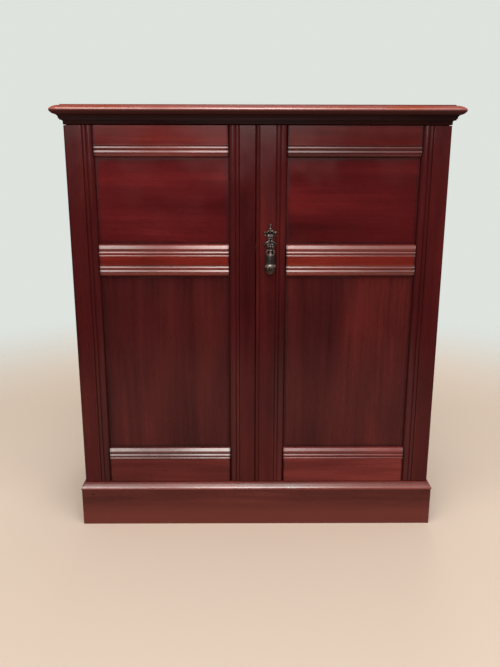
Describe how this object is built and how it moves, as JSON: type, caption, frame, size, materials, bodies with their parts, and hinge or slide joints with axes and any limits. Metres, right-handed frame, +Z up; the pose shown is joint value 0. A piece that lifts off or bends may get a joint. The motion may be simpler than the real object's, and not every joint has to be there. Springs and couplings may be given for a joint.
{
  "type": "cupboard",
  "caption": "Low two-door mahogany cupboard with framed, panelled and beaded doors, a moulded top, a plinth and fixed shelves inside.",
  "frame": {"origin": "on the floor, under the centre of the top board", "axes": "+Z up, doors face -Y, +X to the right of someone who looks at the doors"},
  "size_m": [0.808, 0.406, 0.905],
  "materials": {
    "polished_mahogany": "gloss French polish",
    "deal": "bare, aged",
    "hinge_brass": "dull, aged",
    "handle_bronze": "dark lacquer, worn",
    "screw_steel": "plain"
  },
  "bodies": {
    "case": {"back_board_1": "deal", "back_board_2": "deal", "back_board_3": "deal", "back_board_4": "deal", "base_moulding_front": "polished_mahogany", "base_moulding_left": "polished_mahogany", "base_moulding_right": "polished_mahogany", "bolt_keepers": "hinge_brass", "case_bottom": "deal", "case_hinge_screws": "screw_steel", "cornice_front": "polished_mahogany", "cornice_left": "polished_mahogany", "cornice_right": "polished_mahogany", "frieze_rail": "polished_mahogany", "hinge_pins": "hinge_brass", "left_case_hinge_leaves": "hinge_brass", "left_side": "polished_mahogany", "lower_shelf": "deal", "plinth_back": "deal", "plinth_corner_blocks": "deal", "plinth_front": "polished_mahogany", "plinth_left": "polished_mahogany", "plinth_right": "polished_mahogany", "right_case_hinge_leaves": "hinge_brass", "right_side": "polished_mahogany", "top_back_rail": "deal", "top_board": "polished_mahogany", "top_front_rail": "deal", "top_screws": "screw_steel", "upper_shelf": "deal"},
    "left_door": {"left_door_bottom_rail": "polished_mahogany", "left_door_hinge_leaves": "hinge_brass", "left_door_lower_panel": "polished_mahogany", "left_door_meeting_stile": "polished_mahogany", "left_door_middle_rail": "polished_mahogany", "left_door_outer_stile": "polished_mahogany", "left_door_screws": "screw_steel", "left_door_top_rail": "polished_mahogany", "left_door_upper_panel": "polished_mahogany", "lock_strike_plate": "hinge_brass", "lower_bolt_plate": "hinge_brass", "upper_bolt_plate": "hinge_brass"},
    "right_door": {"closing_bead": "polished_mahogany", "handle_backplate": "handle_bronze", "handle_pin": "handle_bronze", "handle_post": "handle_bronze", "lock_case": "hinge_brass", "right_door_bottom_rail": "polished_mahogany", "right_door_hinge_leaves": "hinge_brass", "right_door_lower_panel": "polished_mahogany", "right_door_meeting_stile": "polished_mahogany", "right_door_middle_rail": "polished_mahogany", "right_door_outer_stile": "polished_mahogany", "right_door_screws": "screw_steel", "right_door_top_rail": "polished_mahogany", "right_door_upper_panel": "polished_mahogany"},
    "upper_bolt": {"upper_bolt": "hinge_brass"},
    "lower_bolt": {"lower_bolt": "hinge_brass"},
    "lock_bolt": {"lock_bolt": "hinge_brass"},
    "handle_drop": {"handle_drop": "handle_bronze"}
  },
  "joints": [
    {"name": "left_door_hinge", "type": "hinge", "parent": "case", "child": "left_door", "pos_m": [-0.385, -0.1597, 0.4838], "axis": [0, 0, -1], "range_deg": [0, 170]},
    {"name": "right_door_hinge", "type": "hinge", "parent": "case", "child": "right_door", "pos_m": [0.385, -0.1597, 0.4838], "axis": [0, 0, 1], "range_deg": [0, 170]},
    {"name": "handle_swing", "type": "hinge", "parent": "right_door", "child": "handle_drop", "pos_m": [0.026, -0.189, 0.6275], "axis": [-1, 0, 0], "range_deg": [0, 80]},
    {"name": "lock_bolt_slide", "type": "slide", "parent": "right_door", "child": "lock_bolt", "axis": [-1, 0, 0], "range_m": [0, 0.009]},
    {"name": "upper_bolt_slide", "type": "slide", "parent": "left_door", "child": "upper_bolt", "axis": [0, 0, 1], "range_m": [0, 0.01]},
    {"name": "lower_bolt_slide", "type": "slide", "parent": "left_door", "child": "lower_bolt", "axis": [0, 0, -1], "range_m": [0, 0.01]}
  ]
}
